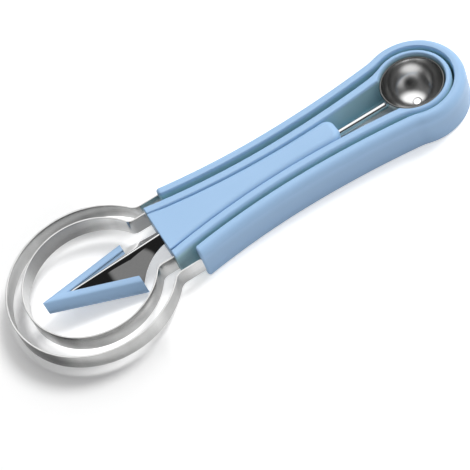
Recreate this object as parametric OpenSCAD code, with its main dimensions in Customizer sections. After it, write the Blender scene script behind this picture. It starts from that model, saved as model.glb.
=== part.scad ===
// Nested watermelon scoop: three tools that lie one inside the other.
// The outer tool is a round-headed frame handle with a large steel loop.
// The inner tool is a smaller frame handle with a small steel loop.
// The knife tool is a wedge handle with a roof-shaped blade at one end and a baller at the other.
// X runs from the loops to the head, Y is across, Z is up.
// The origin is on the table, under the middle of the whole length.

/* [Knife handle] */
// Half width of the knife handle at its waist
knife_waist_hw = 5.9; // [4.5:0.1:8]
// Distance from the loop centre to the waist of all three handles
waist_x = 102.5; // [95:0.5:110]
// Widening of each side from the waist to the blade end of the knife handle
end_flare = 6.2; // [4.5:0.1:7]
// Widening of each side from the waist to the middle of the bowl
head_flare = 5.3; // [4:0.1:6]
// Distance from the loop centre to the blade end of the knife handle
knife_end_x = 36.9; // [35:0.1:42]
// Distance from the loop centre to the rounded tip of the knife handle
knife_tip_x = 131.3; // [120:0.1:138]
// Corner radius of the tip in plan
knife_tip_r = 4.6; // [2:0.1:5]
// Height of the top of the knife handle above the table
knife_top_z = 17.6; // [16:0.1:20]
// Rounding of the top edge of the knife handle
knife_round = 2; // [0.6:0.1:2.6]

/* [Inner handle] */
// Side clearance between the knife handle and its slot
knife_fit = 0.3; // [0.2:0.05:0.6]
// Wall of the inner handle along the slot
inner_wall = 4.95; // [4:0.05:6]
// Wall of the inner handle round the baller
inner_head_wall = 3; // [2:0.05:4]
// Clearance round the baller
bowl_fit = 0.4; // [0.3:0.05:1]
// Concave radius where the sides run into the head
inner_neck_r = 30; // [15:1:45]
// Height of the top of the inner handle above the table
inner_top_z = 17.4; // [16:0.1:20]
// Rounding of its outer top edge
inner_round = 1.9; // [0.5:0.1:2.4]
// Thickness of the ledge that carries the knife handle
inner_ledge_t = 2; // [1.5:0.1:3]
// Width of that ledge
inner_ledge_w = 2.3; // [1.8:0.1:3]

/* [Outer handle] */
// Gap between the inner and outer handles along the sides
handle_gap = 2.3; // [1:0.1:3]
// Gap between the two handles round the head
head_gap = 1.1; // [0.8:0.05:2]
// Wall of the outer handle along the sides
outer_wall = 5.6; // [4.5:0.1:7]
// Wall of the outer handle round the head
outer_head_wall = 5.3; // [4.5:0.1:7]
// Concave radius where the inside of the sides runs into the head
outer_neck_r = 24; // [16:1:40]
// Distance from the loop centre to the loop end of the outer handle
outer_end_x = 46.4; // [44:0.1:52]
// Height of the outer handle
outer_h = 17.8; // [16:0.1:20]
// Rounding of its outer top edge
outer_round = 3; // [1:0.1:4]
// Rounding of the lower edges of all handles
foot_round = 1; // [0.4:0.1:1.5]
// Rounding of the top edges of the openings
lip_round = 0.9; // [0.3:0.1:1.2]
// Thickness of the ledge that carries the inner handle
outer_ledge_t = 2; // [1.5:0.1:3]
// How far that ledge reaches under the inner handle
outer_ledge_grip = 2.2; // [1.6:0.1:2.8]

/* [Loops] */
// Radius of the outer loop at the middle of its band
outer_loop_r = 40.6; // [38:0.2:46]
// Height of the outer band
outer_band_h = 8.7; // [6:0.1:12]
// Height of the lower edge of the outer band above the table
outer_band_z = 4.3; // [2.6:0.1:6]
// Distance of the outer band's legs from the middle
outer_leg_y = 22.4; // [20.5:0.1:23]
// Radius of the bend between the outer loop and its legs
outer_bend_r = 5.4; // [3:0.1:9]
// Radius of the inner loop at the middle of its band
inner_loop_r = 32; // [30:0.2:35]
// Height of the inner band
inner_band_h = 9.7; // [6:0.1:10]
// Height of the lower edge of the inner band above the table
inner_band_z = 5.7; // [4.4:0.1:7]
// Distance of the inner band's legs from the middle
inner_leg_y = 15; // [13.5:0.1:15.6]
// Radius of the bend between the inner loop and its legs
inner_bend_r = 4.3; // [3:0.1:8]
// Thickness of both bands
band_t = 0.9; // [0.6:0.1:1.2]
// Length of the tangs inside the handles
tang_l = 13; // [8:0.5:16]
// Radius of the key that locks a tang in its handle
key_r = 1.4; // [1:0.1:1.8]

/* [Blade and guard] */
// Thickness of the blade sheet
blade_t = 0.9; // [0.6:0.1:1.2]
// Length of the ridge in front of the handle
blade_l = 59.4; // [54:0.2:61]
// Height of the ridge above the table where it leaves the handle
ridge_z = 15.95; // [14.5:0.05:16.3]
// Fall of the ridge towards the tip in degrees
ridge_fall = 3.1; // [1:0.1:4]
// Slope of each wing in degrees
wing_slope = 39.5; // [34:0.5:44]
// Width of one wing at its rear corner
wing_w = 15.4; // [13:0.1:17]
// Distance from the handle to the rear corner of the wing
corner_back = 17.7; // [15:0.1:20]
// Length of the straight neck in front of the handle
neck_l = 1.3; // [0.8:0.1:3]
// Half width of the blade's neck, measured down the slope
neck_w = 5.35; // [4:0.05:6]
// Radius of the hollow rear edge
hollow_r = 27.4; // [22:0.2:40]
// Width of the ground bevel along the cutting edges
bevel_w = 1.6; // [0.8:0.1:2.4]
// Length of the blade's tang inside the handle
blade_tang_l = 25; // [12:1:40]
// Running clearance in the guard's slot
guard_fit = 0.12; // [0.1:0.01:0.2]
// Depth by which the guard covers the cutting edge
guard_cover = 4.6; // [3:0.1:6]
// Reach of the guard outside the cutting edge
guard_reach = 3.1; // [2.4:0.1:3.6]
// Half thickness of the guard over the blade
guard_half_t = 2.25; // [1.6:0.05:2.8]
// Thickness of the guard in front of the blade's tip
guard_nose = 1.6; // [1:0.1:3]
// Depth of the guard's slot past the cutting edge
guard_slot_end = 1.3; // [0.4:0.1:1.6]
// Distance from the guard's rear ends to the wing's rear corners
guard_short = 0.2; // [0:0.1:2]

/* [Baller] */
// Outer radius of the baller bowl
bowl_r = 15.2; // [13:0.1:17]
// Wall of the bowl
bowl_t = 0.9; // [0.6:0.1:1.4]
// Height of the bowl's rim above the table
bowl_rim_z = 15.85; // [15.8:0.05:18]
// Distance from the loop centre to the middle of the bowl
head_x = 172; // [165:0.2:180]
// Radius of the drain hole
drain_r = 1.7; // [1:0.1:3]
// Radius of the rod
rod_r = 1.8; // [1.4:0.1:2.4]
// Height of the rod's axis above the table
rod_z = 11; // [9:0.1:12.5]
// Length of the rod inside the handle
rod_seat_l = 20; // [12:1:30]

/* [Hidden] */

blue = [0.63, 0.77, 0.91];
steel = [0.72, 0.73, 0.74];

// Moulded steel-to-plastic clearance and the overshoot of cutting tools
seat_fit = 0.05;
over = 1;

// Steps of the curves
side_steps = 9;
neck_steps = 6;
head_steps = 14;
hole_steps = 20;
tip_steps = 7;
loop_steps = 52;
bend_steps = 8;
edge_steps = 6;
lip_steps = 3;

// Radius of an arc that leaves a tangent by rise over a run
function arc_r(run, rise) = (run * run + rise * rise) / (2 * rise);

// Flank = [waist half width, radius towards the loops, radius towards the head]
function flank_out(f, d) = [f[0] + d, f[1] - d, f[2] - d];
knife_flank = [knife_waist_hw, arc_r(waist_x - knife_end_x, end_flare),
               arc_r(head_x - waist_x, head_flare)];
slot_flank = flank_out(knife_flank, knife_fit);
inner_flank = flank_out(slot_flank, inner_wall);
cavity_flank = flank_out(inner_flank, handle_gap);

inner_slot_head_r = bowl_r + bowl_fit;
inner_head_r = inner_slot_head_r + inner_head_wall;
cavity_head_r = inner_head_r + head_gap;
outer_head_r = cavity_head_r + outer_head_wall;

inner_z = outer_ledge_t;
knife_z = inner_z + inner_ledge_t;

loop_front = outer_loop_r + band_t / 2;
mid_x = (head_x + outer_head_r - loop_front) / 2;

// Direction of a flank at a place on its loop side, in degrees
function flank_dir(f, x) = -asin((waist_x - x) / f[1]);

function polar(c, r, a) = c + r * [cos(a), sin(a)];
function arc(c, r, a0, a1, n) = [for (i = [0:n]) polar(c, r, a0 + (a1 - a0) * i / n)];
function angle_of(v) = atan2(v[1], v[0]);
function mirrored(pts) = [for (i = [len(pts) - 1:-1:0]) [pts[i][0], -pts[i][1]]];

// Where two circles meet, the point on the left of the line from a to b
function circles_meet(a, ra, b, rb) =
    let (v = b - a,
         l = norm(v),
         u = v / l,
         s = (l * l + ra * ra - rb * rb) / (2 * l),
         h = sqrt(ra * ra - s * s))
    a + u * s + [-u[1], u[0]] * h;

// Side curve from x_end to the waist and on to the end of the head-side arc at angle a1,
// moved inwards by d
function side_curve(f, x_end, a1, d) =
    let (c0 = [waist_x, f[0] + f[1]],
         c1 = [waist_x, f[0] + f[2]],
         r0 = f[1] + d,
         r1 = f[2] + d)
    concat(arc(c0, r0, -90 - asin((waist_x - x_end) / r0), -90, side_steps),
           [for (i = [1:side_steps]) polar(c1, r1, -90 + (a1 + 90) * i / side_steps)]);

// Keyhole outline: side curve, concave neck and round head, moved inwards by d
function keyhole(f, x_end, neck_r, head_r, d) =
    let (c1 = [waist_x, f[0] + f[2]],
         h = [head_x, 0],
         m = circles_meet(h, head_r + neck_r, c1, f[2] - neck_r),
         a1 = angle_of(m - c1),
         a2 = angle_of(m - h),
         side = side_curve(f, x_end, a1, d),
         neck = [for (i = [1:neck_steps])
             polar(m, neck_r + d, a1 + (a2 - 180 - a1) * i / neck_steps)],
         head = [for (i = [1:head_steps]) polar(h, head_r - d, a2 * (1 - i / head_steps))],
         half = concat(side, neck, head))
    concat(half, mirrored([for (i = [0:len(half) - 2]) half[i]]));

// Wedge outline with a rounded tip, moved inwards by d
function wedge(f, x_end, x_tip, tip_r, d) =
    let (c1 = [waist_x, f[0] + f[2]],
         cx = x_tip - tip_r,
         cy = c1[1] - sqrt(pow(f[2] + tip_r, 2) - pow(cx - waist_x, 2)),
         m = [cx, cy],
         a1 = angle_of(m - c1),
         side = side_curve(f, x_end, a1, d),
         tip = [for (i = [1:tip_steps]) polar(m, tip_r - d, (a1 + 180) * (1 - i / tip_steps))],
         half = concat(side, tip))
    concat(half, mirrored(half));

// Slot that opens into a round hole at the head, moved inwards by d
function slotted_round(f, x_end, hole_r, d) =
    let (c1 = [waist_x, f[0] + f[2]],
         h = [head_x, 0],
         w = circles_meet(h, hole_r - d, c1, f[2] + d),
         side = side_curve(f, x_end, angle_of(w - c1), d),
         a2 = angle_of(w - h),
         half = concat(side, [for (i = [1:hole_steps])
             polar(h, hole_r - d, a2 * (1 - i / hole_steps))]))
    concat(half, mirrored([for (i = [0:len(half) - 2]) half[i]]));

// Solid made of one outline at each [height, inset] in layers
module slab(layers, outline) {
    rings = [for (l = layers) outline(l[1])];
    n = len(rings[0]);
    k = len(layers);
    points = [for (i = [0:k - 1]) for (p = rings[i]) [p[0], p[1], layers[i][0]]];
    sides = [for (i = [0:k - 2]) for (j = [0:n - 1])
        let (a = i * n + j, b = i * n + (j + 1) % n)
        each [[a, b, b + n], [a, b + n, a + n]]];
    polyhedron(points, concat([[for (j = [n - 1:-1:0]) j]], sides,
                              [[for (j = [0:n - 1]) (k - 1) * n + j]]));
}

// Layers of a solid with rounded lower and upper edges
function rounded_layers(z0, z1, r0, r1) = concat(
    [for (a = [0:45:90]) [z0 + r0 * (1 - cos(a)), r0 * (1 - sin(a))]],
    [for (i = [0:edge_steps])
        let (a = 90 * i / edge_steps) [z1 - r1 + r1 * sin(a), r1 * (1 - cos(a))]]);

// Top edge rounded towards an opening, as [height, inset] from the lip down
function lip_layers(z1, r) =
    [for (i = [lip_steps:-1:0])
        let (a = 90 * i / lip_steps) [z1 - r + r * sin(a), -r * (1 - cos(a))]];

// Frame swept once round a keyhole, open at the loop end.
// Each row of the section is [height, outline function, inset, side], where side is 1 on the
// outside and -1 on the inside. The two end faces are softened by end_soft.
end_soft = 0.5;
module swept_frame(section, x_end, z0, z1) {
    pull = function (gap) max(0, end_soft - gap / 2);
    rows = [for (s = section)
        let (ring = s[1](x_end + end_soft, s[2]),
             first = s[1](x_end, s[2] + s[3] * end_soft)[0],
             z = s[0] + pull(s[0] - z0) - pull(z1 - s[0]))
        concat([[first[0], first[1], z]], [for (p = ring) [p[0], p[1], s[0]]],
               [[first[0], -first[1], z]])];
    n = len(rows[0]);
    m = len(rows);
    sides = [for (k = [0:m - 1]) for (i = [0:n - 2])
        let (a = k * n + i, b = ((k + 1) % m) * n + i)
        each [[a, a + 1, b], [a + 1, b + 1, b]]];
    polyhedron([for (r = rows) each r],
               concat(sides, [[for (k = [0:m - 1]) k * n], [for (k = [m - 1:-1:0]) k * n + n - 1]]));
}

// Middle line of a band: round loop, bend and straight leg, moved outwards by d
function band_half(r, leg_y, bend_r, leg_x, d) =
    let (bx = sqrt(pow(r + bend_r, 2) - pow(leg_y + bend_r, 2)),
         b = [bx, leg_y + bend_r],
         a = angle_of(b))
    concat(arc([0, 0], r + d, 180, a, loop_steps),
           [for (i = [1:bend_steps]) polar(b, bend_r - d, a + 180 + (90 - a) * i / bend_steps)],
           [[leg_x, leg_y + d]]);

module band(r, h, z, leg_y, bend_r, leg_x, tang_a, t) {
    half_out = band_half(r, leg_y, bend_r, leg_x, t / 2);
    half_in = band_half(r, leg_y, bend_r, leg_x, -t / 2);
    turn = [cos(tang_a), sin(tang_a)];
    side = [-turn[1], turn[0]] * t / 2;
    foot = [leg_x, leg_y] + turn * tang_l;
    outer = concat(half_out, [foot + side]);
    inner = concat(half_in, [foot - side]);
    back = function (pts) [for (i = [len(pts) - 1:-1:0]) pts[i]];
    mirror_y = function (pts) [for (p = pts) [p[0], -p[1]]];
    skip = function (pts) [for (i = [1:len(pts) - 1]) pts[i]];
    translate([0, 0, z])
        linear_extrude(h)
            polygon(concat(back(outer), mirror_y(skip(outer)),
                           back(mirror_y(inner)), skip(inner)));
}

// Keys of a band: round pins across both tangs, at this share of their length
key_share = 0.6;
module tang_keys(h, z, leg_y, leg_x, tang_a, r, reach) {
    for (s = [-1, 1])
        translate([leg_x, s * leg_y, z + h / 2])
            rotate([0, 0, s * tang_a])
                translate([tang_l * key_share, 0, 0])
                    rotate([90, 0, 0])
                        cylinder(r = r, h = reach, center = true, $fn = 32);
}

// Slots for both tangs of a band, with the moulded keys left standing in them
module tang_slots(h, z, leg_y, leg_x, tang_a) {
    w = band_t + 2 * seat_fit;
    difference() {
        for (s = [-1, 1])
            translate([leg_x, s * leg_y, z - seat_fit])
                rotate([0, 0, s * tang_a])
                    translate([-over, -w / 2, 0])
                        cube([over + tang_l, w, h + 2 * seat_fit]);
        tang_keys(h, z, leg_y, leg_x, tang_a, key_r - seat_fit, 3 * w);
    }
}

outer_tang_a = flank_dir(cavity_flank, outer_end_x + tang_l / 2);
inner_tang_a = flank_dir(inner_flank, knife_end_x + tang_l / 2);

module outer_handle() {
    outside = function (x, d) keyhole(flank_out(cavity_flank, outer_wall), x,
                                      outer_neck_r - outer_wall, outer_head_r, d);
    cavity = function (x, d) keyhole(cavity_flank, x, outer_neck_r, cavity_head_r, d);
    ledge = function (x, d) keyhole(flank_out(inner_flank, -outer_ledge_grip), x,
                                    outer_neck_r, inner_head_r - outer_ledge_grip, d);
    section = concat(
        [for (l = rounded_layers(0, outer_h, foot_round, outer_round)) [l[0], outside, l[1], 1]],
        [for (l = lip_layers(outer_h, lip_round)) [l[0], cavity, l[1], -1]],
        [[outer_ledge_t, cavity, 0, -1], [outer_ledge_t, ledge, 0, -1], [0, ledge, 0, -1]]);
    color(blue)
        difference() {
            swept_frame(section, outer_end_x, 0, outer_h);
            tang_slots(outer_band_h, outer_band_z, outer_leg_y, outer_end_x, outer_tang_a);
        }
}

module outer_loop() {
    color(steel)
        difference() {
            band(outer_loop_r, outer_band_h, outer_band_z, outer_leg_y, outer_bend_r,
                 outer_end_x, outer_tang_a, band_t);
            tang_keys(outer_band_h, outer_band_z, outer_leg_y, outer_end_x, outer_tang_a,
                      key_r, 4 * band_t);
        }
}

module inner_handle() {
    outside = function (x, d) keyhole(inner_flank, x, inner_neck_r, inner_head_r, d);
    slot = function (x, d) slotted_round(slot_flank, x, inner_slot_head_r, d);
    section = concat(
        [for (l = rounded_layers(inner_z, inner_top_z, foot_round, inner_round))
            [l[0], outside, l[1], 1]],
        [for (l = lip_layers(inner_top_z, lip_round)) [l[0], slot, l[1], -1]],
        [[knife_z, slot, 0, -1], [knife_z, slot, inner_ledge_w, -1],
         [inner_z, slot, inner_ledge_w, -1]]);
    color(blue)
        difference() {
            swept_frame(section, knife_end_x, inner_z, inner_top_z);
            tang_slots(inner_band_h, inner_band_z, inner_leg_y, knife_end_x, inner_tang_a);
        }
}

module inner_loop() {
    color(steel)
        difference() {
            band(inner_loop_r, inner_band_h, inner_band_z, inner_leg_y, inner_bend_r,
                 knife_end_x, inner_tang_a, band_t);
            tang_keys(inner_band_h, inner_band_z, inner_leg_y, knife_end_x, inner_tang_a,
                      key_r, 4 * band_t);
        }
}

// Frame of the blade: origin on the ridge at the handle's end, X along the ridge
module blade_frame() {
    translate([knife_end_x, 0, ridge_z])
        rotate([0, -ridge_fall, 0])
            children();
}

// Both sides of something drawn on one wing: X along the ridge, Y down the slope, Z out of the sheet
module both_wings() {
    for (s = [0, 1])
        mirror([0, s, 0])
            intersection() {
                rotate([-wing_slope, 0, 0])
                    children();
                translate([-1.5 * blade_l, 0, -blade_l])
                    cube([3 * blade_l, blade_l, 2 * blade_l]);
            }
}

corner = [-corner_back, wing_w];
neck_end = [-neck_l, neck_w];
edge_a = atan2(wing_w, blade_l - corner_back);
hollow_c = circles_meet(corner, hollow_r, neck_end, hollow_r);

// Sheet of one wing with clearance g on both faces and at the neck
module wing_sheet(g) {
    translate([0, 0, -blade_t - g])
        linear_extrude(blade_t + 2 * g)
            difference() {
                polygon([[-blade_l, -2 * blade_t], [-blade_l, 0], corner, neck_end + [0, g],
                         [blade_tang_l, neck_w + g], [blade_tang_l, -2 * blade_t]]);
                translate(hollow_c)
                    circle(r = hollow_r - g, $fn = 180);
            }
}

module v_blade() {
    bevel_a = atan(blade_t / bevel_w);
    color(steel)
        blade_frame()
            both_wings()
                difference() {
                    wing_sheet(0);
                    translate([-blade_l, 0, -blade_t])
                        rotate([0, 0, edge_a])
                            rotate([-bevel_a, 0, 0])
                                translate([-over, -blade_t, 0])
                                    cube([1.2 * blade_l, blade_l, blade_l]);
                }
}

// Section of one guard arm: across the cutting edge and out of the sheet's middle
arm_section = [[-guard_cover, 0.42 * guard_half_t], [-guard_cover * 0.55, 0.88 * guard_half_t],
               [-guard_cover * 0.36, guard_half_t], [-guard_cover * 0.1, 0.97 * guard_half_t],
               [guard_reach * 0.9, 0.5 * guard_half_t], [guard_reach, 0.34 * guard_half_t]];

module blade_guard() {
    front = -blade_l - guard_nose;
    rear = -corner_back - guard_short;
    color(blue)
        blade_frame()
            both_wings()
                difference() {
                    intersection() {
                        translate([-blade_l, 0, -blade_t / 2])
                            rotate([0, 0, edge_a])
                                translate([-0.3 * blade_l, 0, 0])
                                    rotate([90, 0, 90])
                                        linear_extrude(1.6 * blade_l)
                                            polygon(concat(arm_section, [for (i = [5:-1:0])
                                                [arm_section[i][0], -arm_section[i][1]]]));
                        translate([front, -blade_l / 2, -blade_l / 2])
                            cube([rear - front, blade_l, blade_l]);
                    }
                    translate([-blade_l, 0, -blade_t - guard_fit])
                        rotate([0, 0, edge_a])
                            translate([-0.3 * blade_l, -2 * guard_cover, 0])
                                cube([1.6 * blade_l, 2 * guard_cover + guard_fit + guard_slot_end,
                                      blade_t + 2 * guard_fit]);
                }
}

// How far the flat end of the knife handle gives way for an inset of its sides
end_share = 0.3;

module knife_handle() {
    outline = function (d) wedge(knife_flank, knife_end_x + end_share * d,
                                 knife_tip_x, knife_tip_r, d);
    color(blue)
        difference() {
            slab(rounded_layers(knife_z, knife_top_z, foot_round, knife_round), outline);
            blade_frame()
                both_wings()
                    wing_sheet(seat_fit);
            translate([knife_tip_x - rod_seat_l, 0, rod_z])
                rotate([0, 90, 0])
                    cylinder(r = rod_r + seat_fit, h = rod_seat_l + over, $fn = 48);
        }
}

module baller_rod() {
    color(steel)
        difference() {
            translate([knife_tip_x - rod_seat_l, 0, rod_z])
                rotate([0, 90, 0])
                    cylinder(r = rod_r, h = head_x - knife_tip_x + rod_seat_l - bowl_r / 2, $fn = 48);
            translate([head_x, 0, bowl_rim_z])
                sphere(r = bowl_r, $fn = 96);
        }
}

module baller_bowl() {
    color(steel)
        translate([head_x, 0, bowl_rim_z])
            rotate_extrude($fn = 96)
                intersection() {
                    difference() {
                        circle(r = bowl_r, $fn = 96);
                        circle(r = bowl_r - bowl_t, $fn = 96);
                    }
                    translate([drain_r, -bowl_r - over])
                        square([bowl_r, bowl_r + over]);
                }
}

module placed() {
    translate([-mid_x, 0, 0])
        children();
}

placed() outer_handle();
placed() outer_loop();
placed() inner_handle();
placed() inner_loop();
placed() knife_handle();
placed() v_blade();
placed() blade_guard();
placed() baller_rod();
placed() baller_bowl();
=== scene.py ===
from math import asin, atan2, cos, hypot, pi, radians, sin, sqrt, tan

import bmesh
import bpy
import numpy as np
from mathutils import Matrix, Vector


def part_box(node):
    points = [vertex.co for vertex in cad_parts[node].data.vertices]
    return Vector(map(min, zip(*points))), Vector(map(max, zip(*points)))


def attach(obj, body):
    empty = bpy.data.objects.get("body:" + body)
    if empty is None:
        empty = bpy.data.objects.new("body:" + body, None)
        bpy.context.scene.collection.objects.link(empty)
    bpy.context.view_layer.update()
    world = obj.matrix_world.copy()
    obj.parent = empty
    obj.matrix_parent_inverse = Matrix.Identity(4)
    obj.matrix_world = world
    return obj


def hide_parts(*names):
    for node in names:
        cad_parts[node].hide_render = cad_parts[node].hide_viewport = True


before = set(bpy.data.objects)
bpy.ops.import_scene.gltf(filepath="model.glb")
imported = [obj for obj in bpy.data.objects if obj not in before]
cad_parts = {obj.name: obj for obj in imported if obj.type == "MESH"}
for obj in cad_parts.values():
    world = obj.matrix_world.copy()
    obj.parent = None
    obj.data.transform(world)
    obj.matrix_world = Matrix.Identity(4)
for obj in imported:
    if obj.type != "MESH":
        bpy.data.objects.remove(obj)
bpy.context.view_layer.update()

# Sizes are in millimetres until a mesh is made, and X starts at the centre of the loops.
# Heights, and places along the tool, come from the frame's boxes. The other sizes are those of
# the solids, but for the roundings and the guard, which follow the photograph.


def box_mm(node_name):
    """Lowest and highest corner of a CAD node, in millimetres."""
    lo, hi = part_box(node_name)
    return lo * 1000, hi * 1000


OUTER_LOOP_R = 40.6
INNER_LOOP_R = 32.0
BAND_T = 0.9
MID_X = -(box_mm("outer_loop")[0].x + OUTER_LOOP_R + BAND_T / 2)

# Plan of the three handles
KNIFE_WAIST = 5.9
WAIST_X = 102.5
END_FLARE = 6.2
HEAD_FLARE = 5.3
KNIFE_FIT = 0.3
INNER_WALL = 4.95
HANDLE_GAP = 2.3
OUTER_WALL = 5.6
OUTER_HEAD_WALL = 5.3
INNER_HEAD_WALL = 3.0
BOWL_FIT = 0.4
HEAD_GAP = 1.1
INNER_NECK_R = 30.0
OUTER_NECK_R = 24.0
INNER_LEDGE_W = 2.3
OUTER_LEDGE_GRIP = 2.2
LEDGE_T = 2.0
KNIFE_TIP_R = 4.6

# Roundings. A pair is how far across and how far down.
FOOT_ROUND = 1.0
OUTER_LIP = (0.7, 2.2)
SLOT_LIP = (0.9, 2.2)
OUTER_ROUND = (3.3, 3.9)
INNER_ROUND = (1.7, 2.6)
OUTER_END_ROUND = 1.5
INNER_END_ROUND = 0.6
# The knife handle's top edge: across at its end face, behind that face and at its tip, the run
# from the first to the second, the power of the growth to the third, and its depth as a share
KNIFE_ROUND_FACE = 0.5
KNIFE_ROUND_END = 1.5
KNIFE_ROUND_TIP = 3.2
KNIFE_ROUND_RUN = 8.0
KNIFE_ROUND_POWER = 0.8
KNIFE_ROUND_DEPTH = 0.75

# Steps of the handles' curves and edges
SIDE_STEPS = 60
NECK_STEPS = 22
HEAD_STEPS = 56
HOLE_STEPS = 77
TIP_STEPS = 26
END_FACE_STEPS = 8
END_STEPS = 6
FOOT_STEPS = 5
SHOULDER_STEPS = 14
LIP_STEPS = 9
KNIFE_TOP_STEPS = 12

# Bands
OUTER_LEG_Y = 22.4
OUTER_BEND_R = 5.4
INNER_LEG_Y = 15.0
INNER_BEND_R = 4.3
TANG_L = 13.0
BAND_EDGE = 0.16
LOOP_STEPS = 150
BEND_STEPS = 20
LEG_STEPS = 8
TANG_STEPS = 6
BAND_EDGE_STEPS = 4
# Painted dark reflections on the bands, standing for dark parts of the studio that the steel
# mirrors: angle round the loop and half width in degrees, and strength
OUTER_PAINTED_REFLECTIONS = [(-155, 34, 0.9), (-44, 26, 0.45), (72, 50, 0.35)]
INNER_PAINTED_REFLECTIONS = [(-137, 14, 0.4), (-42, 20, 0.45), (24, 14, 0.4), (102, 60, 0.75)]

# Blade and guard, in the frame of the ridge
BLADE_T = 0.9
BLADE_L = 59.4
RIDGE_Z = 15.95
RIDGE_FALL = radians(3.1)
WING_SLOPE = radians(39.5)
WING_W = 15.4
CORNER_BACK = 17.7
NECK_L = 1.3
NECK_W = 5.35
HOLLOW_R = 27.4
BEVEL_W = 1.6
BLADE_TANG_L = 25.0
FOLD_R = 1.05
# The blade ends this far behind its point, and its section shrinks where a wing is this narrow
BLADE_TIP_CUT = 0.3
BLADE_FULL_W = 4.0
# Chamfer of the edges that don't cut, and the least radius inside the fold
BLADE_CHAMFER = 0.12
FOLD_INNER_R = 0.02
# Stations along the cutting edges, the hollow edges and the neck with the tang, and how far
# they keep from the wing's rear corner and from the start of the neck
BLADE_STEPS = (60, 40, 12)
CORNER_GAP = 0.01
NECK_GAP = 0.3
# Steps over the top of a wing, under it and round the fold
WING_TOP_STEPS = 7
WING_UNDER_STEPS = 5
FOLD_STEPS = 8
GUARD_FIT = 0.12
GUARD_SLOT_END = 1.3
GUARD_COVER = 4.0
GUARD_REACH = 3.1
GUARD_HALF_T = 2.8
GUARD_NOSE = 1.6
GUARD_SHORT = 0.2
# Outside of a guard arm: place as a share of its cover, or of its reach past the cutting edge,
# and half thickness as a share
GUARD_OVER_BLADE = [(1.0, 0.42), (0.55, 0.88), (0.36, 1.0), (0.1, 0.98)]
GUARD_PAST_EDGE = [(0.4, 0.86), (0.78, 0.68), (0.95, 0.46), (1.0, 0.2)]
# How much wider than this reach the guard is at the nose and at the rear, as shares, and the
# run from the one to the other
GUARD_WIDER = (0.3, 0.4)
GUARD_WIDER_RUN = 40.0
# An arm is made from before the nose to behind the rear corner, as shares of the blade
GUARD_OVERRUN = (-0.3, 1.3)
GUARD_STEPS = 60
GUARD_OUTSIDE_STEPS = 26
GUARD_EDGE_ROUND = 0.4

# Baller
BOWL_T = 0.9
DRAIN_R = 1.7
DRAIN_ROUND_OUT = 0.25
DRAIN_ROUND_IN = 0.12
BOWL_STEPS = 44
RIM_STEPS = 10
# The rod's weld: length, flare, how far it reaches into the bowl's wall, and its steps
WELD_L = 1.1
WELD_W = 0.55
WELD_SINK = 0.05
WELD_STEPS = 7
# Places of the rod's first rings, from the tip of the handle
ROD_RINGS = (-1, 6)
ROD_STEPS = 48
LATHE_STEPS = 128

OUTER_TOP = box_mm("outer_handle")[1].z
INNER_Z = box_mm("inner_handle")[0].z
INNER_TOP = box_mm("inner_handle")[1].z
KNIFE_Z = box_mm("knife_handle")[0].z
KNIFE_TOP = box_mm("knife_handle")[1].z
OUTER_END = box_mm("outer_handle")[0].x + MID_X
KNIFE_END = box_mm("knife_handle")[0].x + MID_X
KNIFE_TIP = box_mm("knife_handle")[1].x + MID_X
BOWL_R = (box_mm("baller_bowl")[1].x - box_mm("baller_bowl")[0].x) / 2
HEAD_X = box_mm("baller_bowl")[1].x + MID_X - BOWL_R
RIM_Z = box_mm("baller_bowl")[1].z
ROD_R = (box_mm("baller_rod")[1].z - box_mm("baller_rod")[0].z) / 2
ROD_Z = box_mm("baller_rod")[0].z + ROD_R
ROD_START = box_mm("baller_rod")[0].x + MID_X

CORNER = np.array([-CORNER_BACK, WING_W])
NECK_END = np.array([-NECK_L, NECK_W])
EDGE_A = atan2(WING_W, BLADE_L - CORNER_BACK)


# Plane curves

def arc_r(run, rise):
    """Radius of an arc that leaves a tangent by rise over a run."""
    return (run * run + rise * rise) / (2 * rise)


def polar(centre, r, angles):
    """Points at these angles round a centre."""
    angles = np.atleast_1d(angles)
    return np.stack([centre[0] + r * np.cos(angles), centre[1] + r * np.sin(angles)], 1)


def angle_of(v):
    return atan2(v[1], v[0])


def mirrored(points):
    """The same outline on the other side of the middle, running back."""
    return points[::-1] * [1, -1]


def circles_meet(a, ra, b, rb):
    """Where two circles meet, on the left of the line from a to b."""
    a, b = np.asarray(a, float), np.asarray(b, float)
    v = b - a
    length = hypot(*v)
    u = v / length
    s = (length ** 2 + ra ** 2 - rb ** 2) / (2 * length)
    return a + u * s + np.array([-u[1], u[0]]) * sqrt(ra ** 2 - s ** 2)


def flank(d):
    """Side curve d outside the knife handle's: half width at the waist and its two radii."""
    return (KNIFE_WAIST + d, arc_r(WAIST_X - KNIFE_END, END_FLARE) - d,
            arc_r(HEAD_X - WAIST_X, HEAD_FLARE) - d)


def side_curve(f, x_end, a1, d):
    """From x_end past the waist to the end of the head-side arc at angle a1, moved in by d."""
    r0, r1 = f[1] + d, f[2] + d
    start = -pi / 2 - asin((WAIST_X - x_end) / r0)
    first = polar((WAIST_X, f[0] + f[1]), r0, np.linspace(start, -pi / 2, SIDE_STEPS))
    second = polar((WAIST_X, f[0] + f[2]), r1, np.linspace(-pi / 2, a1, SIDE_STEPS)[1:])
    return np.concatenate([first, second])


def keyhole(f, x_end, neck_r, head_r, d):
    """Side curve, concave neck and round head, moved in by d."""
    c1 = np.array([WAIST_X, f[0] + f[2]])
    head = np.array([HEAD_X, 0.0])
    neck = circles_meet(head, head_r + neck_r, c1, f[2] - neck_r)
    a1, a2 = angle_of(neck - c1), angle_of(neck - head)
    half = np.concatenate([
        side_curve(f, x_end, a1, d),
        polar(neck, neck_r + d, np.linspace(a1, a2 - pi, NECK_STEPS)[1:]),
        polar(head, head_r - d, np.linspace(a2, 0, HEAD_STEPS)[1:])])
    return np.concatenate([half, mirrored(half[:-1])])


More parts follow.
